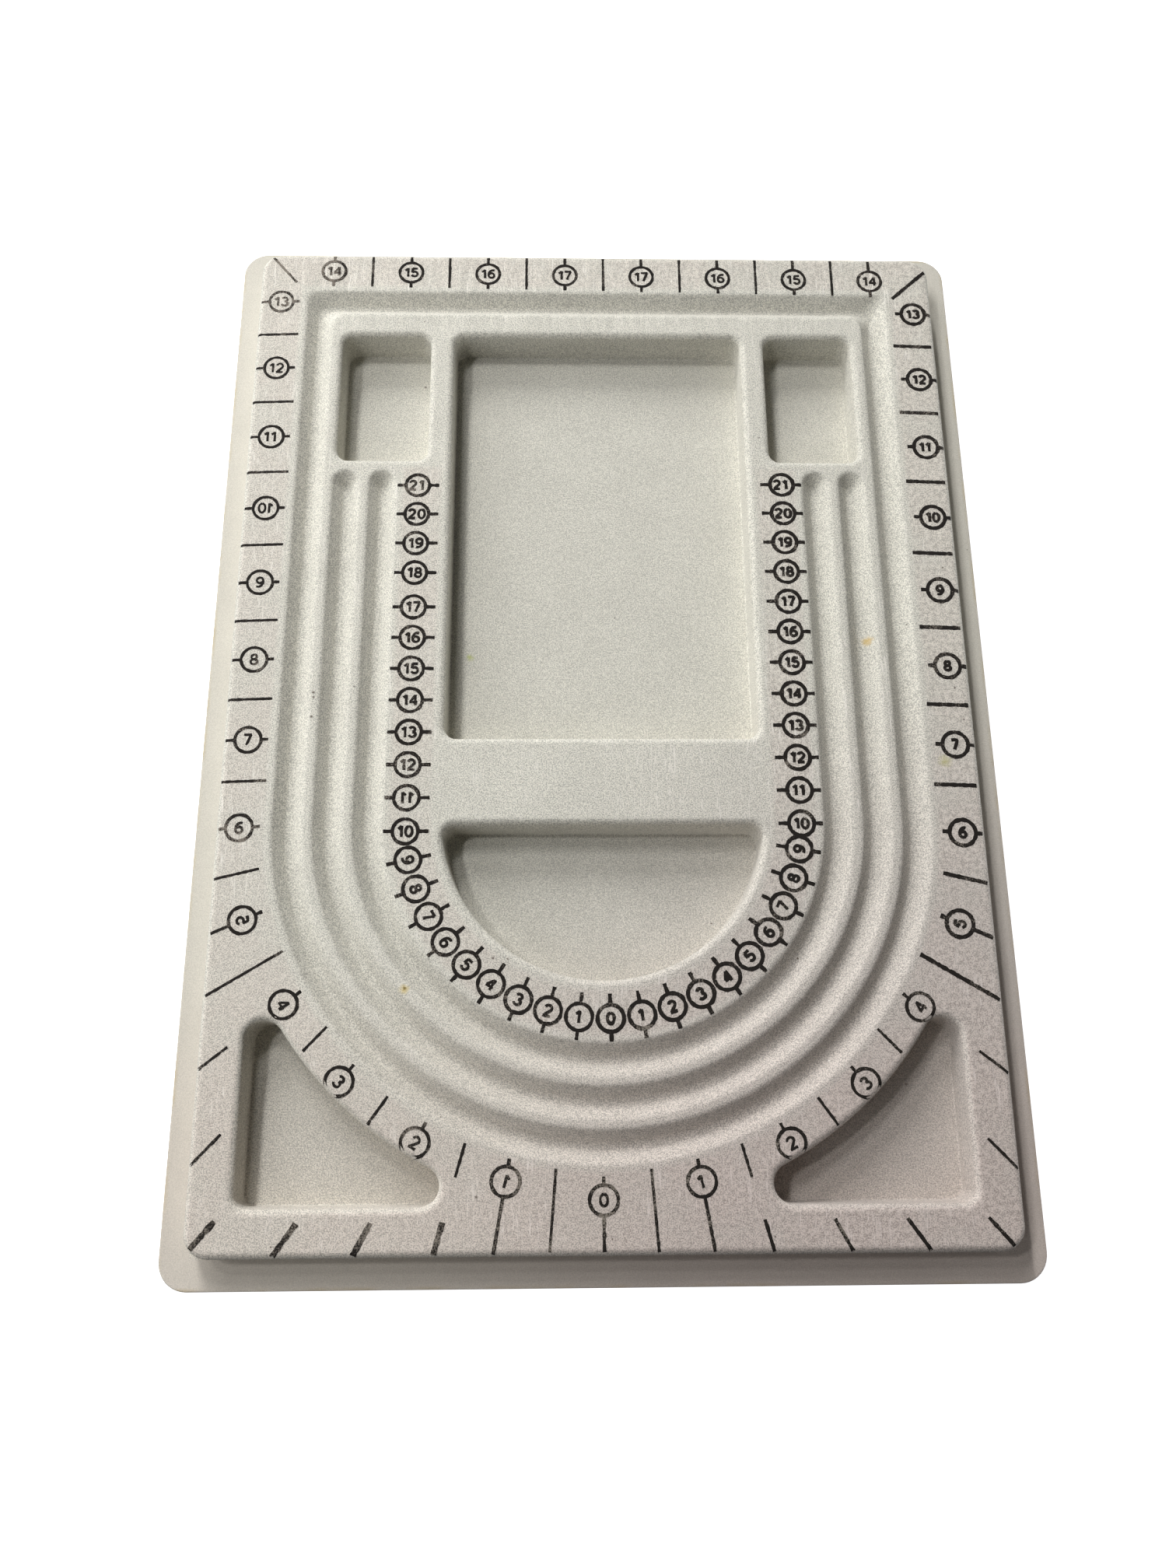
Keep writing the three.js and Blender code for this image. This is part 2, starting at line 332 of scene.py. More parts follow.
def finished_object(name, points, faces, material):
    """A closed mesh object in metres, with its doubles merged and its bends shaded smooth."""
    mesh = bpy.data.meshes.new(name)
    mesh.from_pydata([Vector(p) * MM for p in points], [], faces)
    welded = bmesh.new()
    welded.from_mesh(mesh)
    bmesh.ops.remove_doubles(welded, verts=welded.verts, dist=WELD)
    bmesh.ops.dissolve_degenerate(welded, dist=WELD, edges=welded.edges)
    welded.to_mesh(mesh)
    welded.free()
    mesh.shade_smooth()
    mesh.set_sharp_from_angle(angle=CRISP_ANGLE)
    mesh.materials.append(material)
    piece = bpy.data.objects.new(name, mesh)
    bpy.context.scene.collection.objects.link(piece)
    return piece


def formed_layer(name, upper, lower, upper_rim, lower_rim, material):
    """A layer of the board between two depths below the top of the pile, closed at its trimmed edge."""
    skin = FormedSkin()
    upper_edge = add_side(skin, upper, upper_rim)
    upper_faces = len(skin.faces)
    lower_edge = add_side(skin, lower, lower_rim)
    skin.faces[upper_faces:] = [face[::-1] for face in skin.faces[upper_faces:]]
    skin.band(lower_edge, upper_edge)
    return finished_object(name, skin.points, skin.faces, material)


def linear(hex_colour):
    """An sRGB hex colour as linear RGBA."""
    channels = [int(hex_colour[i:i + 2], 16) / 255 for i in (1, 3, 5)]
    return [c / 12.92 if c <= 0.04045 else ((c + 0.055) / 1.055) ** 2.4 for c in channels] + [1.0]


def add_node(tree, kind, inputs=None, **settings):
    """Adds a node with its settings; each input is a value, or a node or an output of one to link."""
    node = tree.nodes.new(kind)
    for key, value in settings.items():
        setattr(node, key, value)
    for key, value in (inputs or {}).items():
        if isinstance(value, bpy.types.Node):
            value = next(output for output in value.outputs if output.enabled)
        if isinstance(value, bpy.types.NodeSocket):
            tree.links.new(value, node.inputs[key])
        else:
            node.inputs[key].default_value = value
    return node


def new_material(name, finish):
    """A material with a finish, its node tree, its shader and the coordinates that its patterns read."""
    material = bpy.data.materials.new(name)
    material.use_nodes = True
    tree = material.node_tree
    tree.nodes.clear()
    shader = add_node(tree, "ShaderNodeBsdfPrincipled", finish)
    add_node(tree, "ShaderNodeOutputMaterial", {"Surface": shader.outputs["BSDF"]})
    place = add_node(tree, "ShaderNodeTexCoord").outputs["Object"]
    return material, tree, shader, place


# Kinds of node that come often, sockets of a colour mix, and a range that starts and ends gently
MATH = "ShaderNodeMath"
VECTOR = "ShaderNodeVectorMath"
RANGE = "ShaderNodeMapRange"
NOISE = "ShaderNodeTexNoise"
MIX = "ShaderNodeMix"
FACTOR, COLOUR_A, COLOUR_B, COLOUR_OUT = 0, 6, 7, 2
COLOUR = {"data_type": "RGBA"}
GENTLE = {"interpolation_type": "SMOOTHSTEP"}


def per_mm(size):
    """Texture scale of a pattern whose features are this many millimetres apart."""
    return 1 / (size * MM)


# Short nylon flock on glue: a dry, sandy nap that never shines. Stamping pressed the printed bands
# browner and flatter, with pale creases; the bends and the compartments keep a whiter, coarser nap,
# and the flange, trimmed last, is rubbed almost smooth and yellowed by the glue along its cut.
# A fibre is about 0.02 mm thick, too fine to show, so the grain is drawn as tufts of 0.36 mm.
FLOCK_FINISH = {"Roughness": 0.95, "Specular IOR Level": 0.15, "Sheen Weight": 0.08, "Sheen Roughness": 0.6}
# Colours of the pile, and of what lies on it
NAP_TIP = "#ebe8dc"
NAP_GAP = "#afada4"
PRESSED_TIP = "#e4ded3"
PRESSED_GAP = "#afa9a0"
RUBBED = "#d3cdc1"
SOILED = "#fcf8f8"
# Tint of the near right corner: partly grime, partly painted shade
GRIME_AND_SHADE_TINT = "#eee9ec"
CREASE_PALE = "#eeeae1"
GLUE_YELLOW = "#b9a777"
LINT_WHITE = "#efece6"
SPECK_BROWN = "#5a4d42"
# Grain: tufts and clumps, the share of the clumps, and how far the grain spreads round its middle level
NAP_GRAIN = 0.36
NAP_CLUMP = 1.3
CLUMP_SHARE = 0.16
NAP_SPREAD = 0.2
RAISED_SPREAD = 0.14
RAISED_LIGHTER = 0.02
RUBBED_SPREAD = 0.35
RUBBED_SHARE = 0.5
# Relief of the nap, and how much of it shows where it stands and where it is worn
NAP_RELIEF = 0.2
NAP_BUMP = 0.65
WORN_BUMP = 0.4
# The stamp pressed the lands into lumps, painted stronger towards the right as painted shade of light
# raking across them, and stretching left soft ribs at the far end
LUMP_LOW = 0.3
LUMP_HIGH = 0.7
LUMPS_AND_RAKING_SHADE_LEFT = 0.09
LUMPS_AND_RAKING_SHADE_RIGHT = 0.36
RIB_WIDTH = 2.2
RIB_LENGTH = 14
RIB_TONE = 0.08
# Patches of handling, by the levels of a mottle: their tone, and how firmly the stamp pressed there
MOTTLE = 17
MOTTLE_LOW = 0.3
MOTTLE_HIGH = 0.7
MOTTLE_DARK = 0.96
MOTTLE_LIGHT = 1.03
FIRM_LOW = 0.35
FIRM_HIGH = 0.55
FIRM_LEAST = 0.45
# Creases: their size and lean, the levels where they show, and how many more the far end has
CREASE_WIDTH = 0.6
CREASE_LENGTH = 9
CREASE_PATCH = 24
CREASE_LEAN = math.radians(8)
CREASE_LOW = 0.59
CREASE_HIGH = 0.7
CREASE_STRENGTH = 0.9
CREASED_LOW = 0.4
CREASED_HIGH = 0.58
FAR_CREASED = 0.14
# Heights from which the stamp pressed a little and in full, and soft edges of what it pressed
PRESS_START = 12.55
PRESS_FULL = 12.95
SOFT_EDGE = 0.4
PRESS_FADE = 2.2
# Glue along the cut: its width, the levels of the mottle where it shows, and how much
CUT_EDGE = 1.4
GLUE_LOW = 0.45
GLUE_HIGH = 0.65
GLUE_LEAST = 0.05
GLUE_MOST = 0.6
# The near end is soiled; its right corner is darker still, partly grime and partly painted shade of a
# shadow falling there
SOIL_START = -60
SOIL_FULL = -140
GRIME_SHADE_AT = Vector((110, -155, 0))
GRIME_SHADE_FULL = 70
GRIME_SHADE_END = 190
# A stain or dot is full up to one share of its radius, and gone at another
SPOT_FULL = 0.5
SPOT_END = 1.5
# Glue stains: place on the board, radius, strength and colour
STAINS = (
    (81.3, 18.2, 2.2, 0.95, "#cdb173"),
    (-55.5, -86.6, 1.9, 0.8, "#d9c27a"),
    (-55.4, -86.4, 0.8, 0.95, "#6b5718"),
    (-40.2, 16.4, 1.6, 0.85, "#b4bb72"),
    (101.0, -20.8, 2.8, 0.62, "#b8b370"),
)
# Dots of spilt ink: place on the board and radius
INK_DOTS = (
    (-31.1, -78.2, 0.6), (-27.0, -78.4, 0.5), (-34.6, -141.0, 0.55), (-13.9, -137.3, 0.6),
    (85.0, -112.6, 0.75), (106.0, 41.8, 0.45), (106.0, 2.2, 0.5), (107.8, -7.9, 0.5),
    (96.6, -45.6, 0.45), (54.8, -78.1, 0.5), (-85.4, 0.6, 0.7), (-85.2, -0.9, 0.6),
    (-85.5, -7.0, 0.75), (-73.4, 2.4, 0.5), (-57.0, 112.9, 0.55),
)
DOT_STRENGTH = 0.9
# Stray specks and lint: colour, spacing and size, full up to a share of that size
STRAYS = ((SPECK_BROWN, 13, 0.28), (LINT_WHITE, 19, 0.3))
STRAY_FULL = 0.6
STRAY_STRENGTH = 0.8


def flock_material():
    material, tree, shader, place = new_material("nylon_flock", FLOCK_FINISH)
    x, y, z = add_node(tree, "ShaderNodeSeparateXYZ", {0: place}).outputs

    # Where the stamp pressed: the flat band outside the outer channel, and the one inside the inner channel
    past_bend = add_node(tree, MATH, {0: y, 1: BEND_Y * MM}, operation="SUBTRACT")
    near_y = add_node(tree, MATH, {0: past_bend, 1: 0.0}, operation="MINIMUM")
    from_bend = add_node(tree, "ShaderNodeCombineXYZ", {0: x, 1: near_y})
    radius = add_node(tree, VECTOR, {0: from_bend}, operation="LENGTH")
    off_side = add_node(tree, MATH, {0: radius, 1: (LOOP_X + GROOVE_HALF) * MM}, operation="SUBTRACT")
    off_end = add_node(tree, MATH, {0: y, 1: (LOOP_Y + GROOVE_HALF) * MM}, operation="SUBTRACT")
    outside = add_node(tree, MATH, {0: off_side, 1: off_end}, operation="MAXIMUM")
    outer_band = add_node(tree, RANGE, {0: outside, 2: PRESS_FADE * MM}, **GENTLE)
    band_middle = (MAIN_X + INNER_EDGE) / 2
    off_middle = add_node(tree, MATH, {0: radius, 1: band_middle * MM}, operation="SUBTRACT")
    from_middle = add_node(tree, MATH, {0: off_middle}, operation="ABSOLUTE")
    across = add_node(tree, RANGE, {
        0: from_middle, 1: (INNER_BAND / 2 - PRESS_FADE) * MM, 2: INNER_BAND / 2 * MM,
        3: 1.0, 4: 0.0}, **GENTLE)
    along = add_node(tree, RANGE, {
        0: y, 1: (SMALL_NEAR_Y - PRESS_FADE) * MM, 2: SMALL_NEAR_Y * MM, 3: 1.0, 4: 0.0}, **GENTLE)
    inner_band = add_node(tree, MATH, {0: across, 1: along}, operation="MULTIPLY")
    bands = add_node(tree, MATH, {0: outer_band, 1: inner_band}, operation="MAXIMUM")
    top = add_node(tree, RANGE, {0: z, 1: PRESS_START * MM, 2: PRESS_FULL * MM}, **GENTLE)
    stamped = add_node(tree, MATH, {0: top, 1: bands}, operation="MULTIPLY")

    # The flange, and its cut edge
    to_side = add_node(tree, MATH, {0: x}, operation="ABSOLUTE")
    to_end = add_node(tree, MATH, {0: y}, operation="ABSOLUTE")
    past_side = add_node(tree, MATH, {0: to_side, 1: BOARD_WIDTH / 2 * MM}, operation="SUBTRACT")
    past_end = add_node(tree, MATH, {0: to_end, 1: BOARD_LENGTH / 2 * MM}, operation="SUBTRACT")
    past_cut = add_node(tree, MATH, {0: past_side, 1: past_end}, operation="MAXIMUM")
    flange = add_node(tree, RANGE, {
        0: past_cut, 1: -FLANGE_WIDTH * MM, 2: (2 * SOFT_EDGE - FLANGE_WIDTH) * MM}, **GENTLE)
    cut = add_node(tree, RANGE, {0: past_cut, 1: -CUT_EDGE * MM, 2: 0.0}, **GENTLE)

    # Fibres, coarse in the nap and flatter where pressed
    grain = add_node(tree, NOISE, {
        "Vector": place, "Scale": per_mm(NAP_GRAIN), "Detail": 1, "Roughness": 0.5})
    clump = add_node(tree, NOISE, {
        "Vector": place, "Scale": per_mm(NAP_CLUMP), "Detail": 2, "Roughness": 0.55})
    nap = add_node(tree, MATH, {0: clump, 1: CLUMP_SHARE, 2: grain}, operation="MULTIPLY_ADD")
    level = (1 + CLUMP_SHARE) / 2
    middle = add_node(tree, RANGE, {
        0: z, 1: (BOARD_HEIGHT - GROOVE_DEPTH) * MM, 2: BOARD_HEIGHT * MM,
        3: level, 4: level - RAISED_LIGHTER})
    raised = add_node(tree, RANGE, {
        0: z, 1: (BOARD_HEIGHT - 2 * GROOVE_DEPTH) * MM, 2: (BOARD_HEIGHT - GROOVE_DEPTH) * MM,
        3: NAP_SPREAD, 4: RAISED_SPREAD}, **GENTLE)
    spread = add_node(tree, RANGE, {0: flange, 3: raised, 4: RUBBED_SPREAD})
    lowest = add_node(tree, MATH, {0: middle, 1: spread}, operation="SUBTRACT")
    highest = add_node(tree, MATH, {0: middle, 1: spread}, operation="ADD")
    fibre = add_node(tree, RANGE, {0: nap, 1: lowest, 2: highest})
    loose = add_node(tree, MIX, {
        FACTOR: fibre, COLOUR_A: linear(NAP_GAP), COLOUR_B: linear(NAP_TIP)}, **COLOUR)
    lump = add_node(tree, RANGE, {0: clump, 1: LUMP_LOW, 2: LUMP_HIGH, 3: -1.0, 4: 1.0})
    # Painted shade: lump contrast grows towards the right, standing in for light raking across the lands
    # there
    lumps_and_raking_shade = add_node(tree, RANGE, {0: x, 1: -TOP_X * MM, 2: TOP_X * MM, 3: LUMPS_AND_RAKING_SHADE_LEFT, 4: LUMPS_AND_RAKING_SHADE_RIGHT})
    lumps_with_painted_shade = add_node(tree, MATH, {0: lump, 1: lumps_and_raking_shade, 2: fibre}, operation="MULTIPLY_ADD")
    pressed = add_node(tree, MIX, {
        FACTOR: lumps_with_painted_shade, COLOUR_A: linear(PRESSED_GAP), COLOUR_B: linear(PRESSED_TIP)}, **COLOUR)
    patch = add_node(tree, NOISE, {
        "Vector": place, "Scale": per_mm(MOTTLE), "Detail": 3, "Roughness": 0.6})
    firm = add_node(tree, RANGE, {0: patch, 1: FIRM_LOW, 2: FIRM_HIGH, 3: FIRM_LEAST, 4: 1.0})
    press = add_node(tree, MATH, {0: stamped, 1: firm}, operation="MULTIPLY")
    land = add_node(tree, MIX, {FACTOR: press, COLOUR_A: loose, COLOUR_B: pressed}, **COLOUR)
    rubbing = add_node(tree, MATH, {0: flange, 1: RUBBED_SHARE}, operation="MULTIPLY")
    handled = add_node(tree, MIX, {FACTOR: rubbing, COLOUR_A: land, COLOUR_B: linear(RUBBED)}, **COLOUR)

    # Pale creases that the stamp left, in patches and all along the far band
    stretched = add_node(tree, "ShaderNodeMapping", {
        "Vector": place, "Rotation": (0, 0, CREASE_LEAN), "Scale": (1, CREASE_WIDTH / CREASE_LENGTH, 1)})
    streak = add_node(tree, NOISE, {
        "Vector": stretched, "Scale": per_mm(CREASE_WIDTH), "Detail": 2, "Distortion": 1.6})
    crease_patch = add_node(tree, NOISE, {"Vector": place, "Scale": per_mm(CREASE_PATCH), "Detail": 1})
    sharp = add_node(tree, RANGE, {
        0: streak, 1: CREASE_LOW, 2: CREASE_HIGH, 3: 0.0, 4: CREASE_STRENGTH})
    far_end = add_node(tree, RANGE, {
        0: y, 1: (FAR_Y - FAR_RIM) * MM, 2: (FAR_Y + FAR_RIM) * MM}, **GENTLE)
    wrinkled = add_node(tree, MATH, {0: far_end, 1: FAR_CREASED, 2: crease_patch}, operation="MULTIPLY_ADD")
    where = add_node(tree, RANGE, {0: wrinkled, 1: CREASED_LOW, 2: CREASED_HIGH})
    in_patches = add_node(tree, MATH, {0: sharp, 1: where}, operation="MULTIPLY")
    crease = add_node(tree, MATH, {0: in_patches, 1: top}, operation="MULTIPLY")
    creased = add_node(tree, MIX, {
        FACTOR: crease, COLOUR_A: handled, COLOUR_B: linear(CREASE_PALE)}, **COLOUR)

    # Faint patches, as handled flock has, and ribs at the far end
    patch_tone = add_node(tree, RANGE, {
        0: patch, 1: MOTTLE_LOW, 2: MOTTLE_HIGH, 3: MOTTLE_DARK, 4: MOTTLE_LIGHT})
    drawn_out = add_node(tree, "ShaderNodeMapping", {
        "Vector": place, "Scale": (1, RIB_WIDTH / RIB_LENGTH, 1)})
    rib = add_node(tree, NOISE, {"Vector": drawn_out, "Scale": per_mm(RIB_WIDTH), "Detail": 2})
    rib_tone = add_node(tree, RANGE, {0: rib, 1: LUMP_LOW, 2: LUMP_HIGH, 3: -RIB_TONE, 4: RIB_TONE})
    ribbed = add_node(tree, MATH, {0: far_end, 1: top}, operation="MULTIPLY")
    tone = add_node(tree, MATH, {0: rib_tone, 1: ribbed, 2: patch_tone}, operation="MULTIPLY_ADD")
    mottled = add_node(tree, VECTOR, {0: creased, "Scale": tone}, operation="SCALE")

    # Glue showing along the cut, soil of the near end, and its right corner darkened by grime and painted
    # shade
    glue = add_node(tree, RANGE, {0: patch, 1: GLUE_LOW, 2: GLUE_HIGH, 3: GLUE_LEAST, 4: GLUE_MOST})
    glue_edge = add_node(tree, MATH, {0: cut, 1: glue}, operation="MULTIPLY")
    trimmed = add_node(tree, MIX, {
        FACTOR: glue_edge, COLOUR_A: mottled, COLOUR_B: linear(GLUE_YELLOW)}, **COLOUR)
    soil = add_node(tree, RANGE, {
        0: y, 1: SOIL_FULL * MM, 2: SOIL_START * MM, 3: 1.0, 4: 0.0}, **GENTLE)
    soiled = add_node(tree, MIX, {
        FACTOR: soil, COLOUR_A: trimmed, COLOUR_B: linear(SOILED)}, **COLOUR, blend_type="MULTIPLY")
    flat_place = add_node(tree, "ShaderNodeCombineXYZ", {0: x, 1: y})
    # Painted shade: the near right corner is darkened in colour, partly grime and partly a shadow that
    # falls there
    from_grime_shade = add_node(tree, VECTOR, {0: flat_place, 1: GRIME_SHADE_AT * MM}, operation="DISTANCE")
    grime_and_painted_shade = add_node(tree, RANGE, {
        0: from_grime_shade, 1: GRIME_SHADE_FULL * MM, 2: GRIME_SHADE_END * MM, 3: 1.0, 4: 0.0}, **GENTLE)
    colour = add_node(tree, MIX, {
        FACTOR: grime_and_painted_shade, COLOUR_A: soiled, COLOUR_B: linear(GRIME_AND_SHADE_TINT)}, **COLOUR, blend_type="MULTIPLY")

    # Stains and spilt ink, with ragged edges
    dots = tuple((*dot, DOT_STRENGTH, SPECK_BROWN) for dot in INK_DOTS)
    for spot_x, spot_y, size, strength, tint in STAINS + dots:
        spot = Vector((spot_x, spot_y, 0)) * MM
        reach = add_node(tree, VECTOR, {0: flat_place, 1: spot}, operation="DISTANCE")
        ragged = add_node(tree, MATH, {0: clump, 1: size * MM, 2: reach}, operation="MULTIPLY_ADD")
        cover = add_node(tree, RANGE, {
            0: ragged, 1: SPOT_FULL * size * MM, 2: SPOT_END * size * MM, 3: strength, 4: 0.0}, **GENTLE)
        colour = add_node(tree, MIX, {
            FACTOR: cover, COLOUR_A: colour, COLOUR_B: linear(tint)}, **COLOUR)

    # Stray dark specks, and bits of white lint
    for tint, spacing, size in STRAYS:
        cells = add_node(tree, "ShaderNodeTexVoronoi", {"Vector": place, "Scale": per_mm(spacing)})
        dot = add_node(tree, RANGE, {
            0: cells, 1: STRAY_FULL * size / spacing, 2: size / spacing, 3: STRAY_STRENGTH, 4: 0.0})
        colour = add_node(tree, MIX, {FACTOR: dot, COLOUR_A: colour, COLOUR_B: linear(tint)}, **COLOUR)

    # The nap stands up in clumps, and lies flatter where it was pressed or rubbed
    worn = add_node(tree, MATH, {0: stamped, 1: flange}, operation="MAXIMUM")
    depth = add_node(tree, RANGE, {0: worn, 3: NAP_BUMP, 4: WORN_BUMP})
    bump = add_node(tree, "ShaderNodeBump", {"Strength": depth, "Distance": NAP_RELIEF * MM, "Height": nap})
    tree.links.new(colour.outputs[COLOUR_OUT], shader.inputs["Base Color"])
    tree.links.new(bump.outputs["Normal"], shader.inputs["Normal"])
    return material


# Vacuum-formed high-impact polystyrene: a satin sheet with a faint orange peel, scuffed on the table side.
SHEET_FINISH = {"IOR": 1.59}
SHEET_GREY = "#b4b2ac"
SHEET_SCUFF = "#c6c4bf"
PEEL = 1.2
PEEL_RELIEF = 0.1
PEEL_BUMP = 0.15
# Scuffs: their size, the levels where they show, and the roughness of the satin between two levels
SCUFF = 9
SCUFF_LOW = 0.45
SCUFF_HIGH = 0.75
SATIN_LOW = 0.3
SATIN_HIGH = 0.7
SATIN_SMOOTH = 0.38
SATIN_ROUGH = 0.55


def sheet_material():
    material, tree, shader, place = new_material("formed_polystyrene", SHEET_FINISH)
    scuff = add_node(tree, NOISE, {
        "Vector": place, "Scale": per_mm(SCUFF), "Detail": 6, "Roughness": 0.7})
    worn = add_node(tree, RANGE, {0: scuff, 1: SCUFF_LOW, 2: SCUFF_HIGH})
    colour = add_node(tree, MIX, {
        FACTOR: worn, COLOUR_A: linear(SHEET_GREY), COLOUR_B: linear(SHEET_SCUFF)}, **COLOUR)
    satin = add_node(tree, RANGE, {
        0: scuff, 1: SATIN_LOW, 2: SATIN_HIGH, 3: SATIN_SMOOTH, 4: SATIN_ROUGH})
    peel = add_node(tree, NOISE, {"Vector": place, "Scale": per_mm(PEEL), "Detail": 1})
    bump = add_node(tree, "ShaderNodeBump", {
        "Strength": PEEL_BUMP, "Distance": PEEL_RELIEF * MM, "Height": peel})
    tree.links.new(colour.outputs[COLOUR_OUT], shader.inputs["Base Color"])
    tree.links.new(satin.outputs[0], shader.inputs["Roughness"])
    tree.links.new(bump.outputs[0], shader.inputs["Normal"])
    return material


# Rubber-stamped pigment ink on the nap: a dull brown-black that the tips of the pile break up.
INK_FINISH = {"Roughness": 0.9, "Specular IOR Level": 0.2}
INK_BLACK = "#221e1b"
INK_THIN = "#857d73"
INK_FLECK = 0.5
FLECK_RELIEF = 0.15
FLECK_BUMP = 0.5
# Patches, and the levels of flecks and patches between which the ink thins
INK_PATCH = 5
THIN_LOW = 1.12
THIN_HIGH = 1.35
# Where the stamp printed poorly: place on the board, radius, and how much of the ink is missing
WORN_SPOTS = (
    (-72, -153, 44, 0.24), (0, -142, 42, 0.15), (-94, 148, 26, 0.22),
    (-56, -90, 14, 0.1), (-104, -41, 10, 0.17),
)


def ink_material():
    material, tree, shader, place = new_material("stamped_ink", INK_FINISH)
    fleck = add_node(tree, NOISE, {
        "Vector": place, "Scale": per_mm(INK_FLECK), "Detail": 2, "Roughness": 0.6})
    patch = add_node(tree, NOISE, {"Vector": place, "Scale": per_mm(INK_PATCH), "Detail": 2})
    bare = add_node(tree, MATH, {0: fleck, 1: patch}, operation="ADD")
    for spot_x, spot_y, size, lack in WORN_SPOTS:
        spot = Vector((spot_x, spot_y, BOARD_HEIGHT)) * MM
        reach = add_node(tree, VECTOR, {0: place, 1: spot}, operation="DISTANCE")
        missing = add_node(tree, RANGE, {0: reach, 1: size / 2 * MM, 2: size * MM, 3: lack, 4: 0.0})
        bare = add_node(tree, MATH, {0: bare, 1: missing}, operation="ADD")
    thin = add_node(tree, RANGE, {0: bare, 1: THIN_LOW, 2: THIN_HIGH})
    colour = add_node(tree, MIX, {
        FACTOR: thin, COLOUR_A: linear(INK_BLACK), COLOUR_B: linear(INK_THIN)}, **COLOUR)
    bump = add_node(tree, "ShaderNodeBump", {
        "Strength": FLECK_BUMP, "Distance": FLECK_RELIEF * MM, "Height": fleck})
    tree.links.new(colour.outputs[COLOUR_OUT], shader.inputs["Base Color"])
    tree.links.new(bump.outputs[0], shader.inputs["Normal"])
    return material


flock = flock_material()
sheet = sheet_material()
ink = ink_material()

# The pile over the sheet, with its round at the trimmed edge
pile_rim = [(-2 * PILE_ROUND, STACK)]
for step in range(PILE_STEPS + 1):
    angle = QUARTER * step / PILE_STEPS
    pile_rim.append((PILE_ROUND * (math.sin(angle) - 1), STACK + PILE_ROUND * (math.cos(angle) - 1)))
flock_piece = formed_layer(
    "flock_pile_layer", 0, PILE_DEPTH, pile_rim, [(0, STACK - PILE_DEPTH)], flock)
shell_piece = formed_layer(
    "formed_sheet_shell", STACK - SHEET_THICKNESS, STACK,
    [(-LEVEL_STRIP, SHEET_THICKNESS), (0, SHEET_THICKNESS)], [(-LEVEL_STRIP, 0), (0, 0)], sheet)


# Numerals of the stamp: bold strokes along centre lines, in units of the height of those lines
LOOP_STEPS = 14
NUMERAL_WIDTH = 0.58


def bow(x, y, wide, high, start, end):
    """A round stroke, from one angle in degrees to another."""
    angles = [math.radians(start + (end - start) * i / LOOP_STEPS) for i in range(LOOP_STEPS + 1)]
    return [(x + wide * math.cos(a), y + high * math.sin(a)) for a in angles]


SIX = [bow(0.29, 0.3, 0.27, 0.3, 150, 510), bow(0.42, 0.4, 0.4, 0.58, 68, 190)]
NUMERAL_STROKES = {
    "0": [bow(0.29, 0.5, 0.28, 0.5, 90, 450)],
    "1": [[(0.02, 0.74), (0.32, 1.0)], [(0.3, 1.04), (0.3, -0.04)]],
    "2": [bow(0.29, 0.72, 0.26, 0.28, 170, -42) + [(0.03, 0.0)], [(-0.04, 0.0), (0.58, 0.0)]],
    "3": [bow(0.27, 0.76, 0.24, 0.24, 160, -90), bow(0.27, 0.26, 0.28, 0.26, 90, -165)],
    "4": [[(0.44, 1.04), (0.44, -0.04)], [(0.44, 1.0), (0.0, 0.3)], [(-0.06, 0.28), (0.62, 0.28)]],
    "5": [[(0.08, 1.0), (0.55, 1.0)], [(0.12, 1.04), (0.05, 0.5)], bow(0.28, 0.31, 0.28, 0.31, 140, -160)],
    "6": SIX,
    "7": [[(-0.04, 1.0), (0.58, 1.0)], [(0.53, 1.0), (0.18, -0.04)]],
    "8": [bow(0.29, 0.76, 0.22, 0.24, 90, 450), bow(0.29, 0.26, 0.27, 0.26, 90, 450)],
    "9": [[(NUMERAL_WIDTH - x, 1 - y) for x, y in stroke] for stroke in SIX],
}
NUMERAL_ADVANCE = {"1": 0.62}
ADVANCE = 0.86
NUMERAL_HEIGHT = 3.85
NUMERAL_STRETCH = 1.15
NUMERAL_STROKE = 0.82


class Stamp:
    """What one scale prints: rings, lines and the strokes of numerals, in millimetres on the land."""

    def __init__(self, name, ring_radius):
        self.name = name
        self.ring_radius = ring_radius
        self.points = []
        self.widths = []
        self.is_ring = []
        self.edges = []

    def point(self, place, width, is_ring):
        self.points.append((place[0], place[1], 0))
        self.widths.append(width)
        self.is_ring.append(is_ring)

    def path(self, places, widths):
        first = len(self.points)
        for place, width in zip(places, widths):
            self.point(place, width, False)
        self.edges += [(i, i + 1) for i in range(first, len(self.points) - 1)]

    def line(self, start, end, width, end_width=None):
        self.path([start, end], [width, end_width or width])

    def numeral(self, label, centre, turn, backwards, width):
        """Strokes of a label about a centre, turned by degrees, mirrored where the stamp was cut wrong."""
        high = NUMERAL_HEIGHT - width
        length = sum(NUMERAL_ADVANCE.get(c, ADVANCE) for c in label[:-1]) + NUMERAL_WIDTH
        hand = -1 if backwards else 1
        stretch = Matrix.Diagonal((hand * high * NUMERAL_STRETCH, high))
        place = Matrix.Rotation(math.radians(turn), 2) @ stretch
        start = -length / 2
        for character in label:
            for stroke in NUMERAL_STROKES[character]:
                places = [centre + place @ Vector((start + x, y - 0.5)) for x, y in stroke]
                self.path(places, [width] * len(places))
            start += NUMERAL_ADVANCE.get(character, ADVANCE)

    def station(self, centre, outward, inner, outer, width, label, turn, backwards=False):
        """A ring with a numeral, and the parts of its line that show on both sides of it."""
        self.point(centre, width, True)
        for reach, sign in ((inner, -1), (outer, 1)):
            if reach > self.ring_radius:
                start = centre + outward * sign * self.ring_radius
                self.line(start, centre + outward * sign * reach, width)
        self.numeral(label, centre, turn, backwards, width * NUMERAL_STROKE)


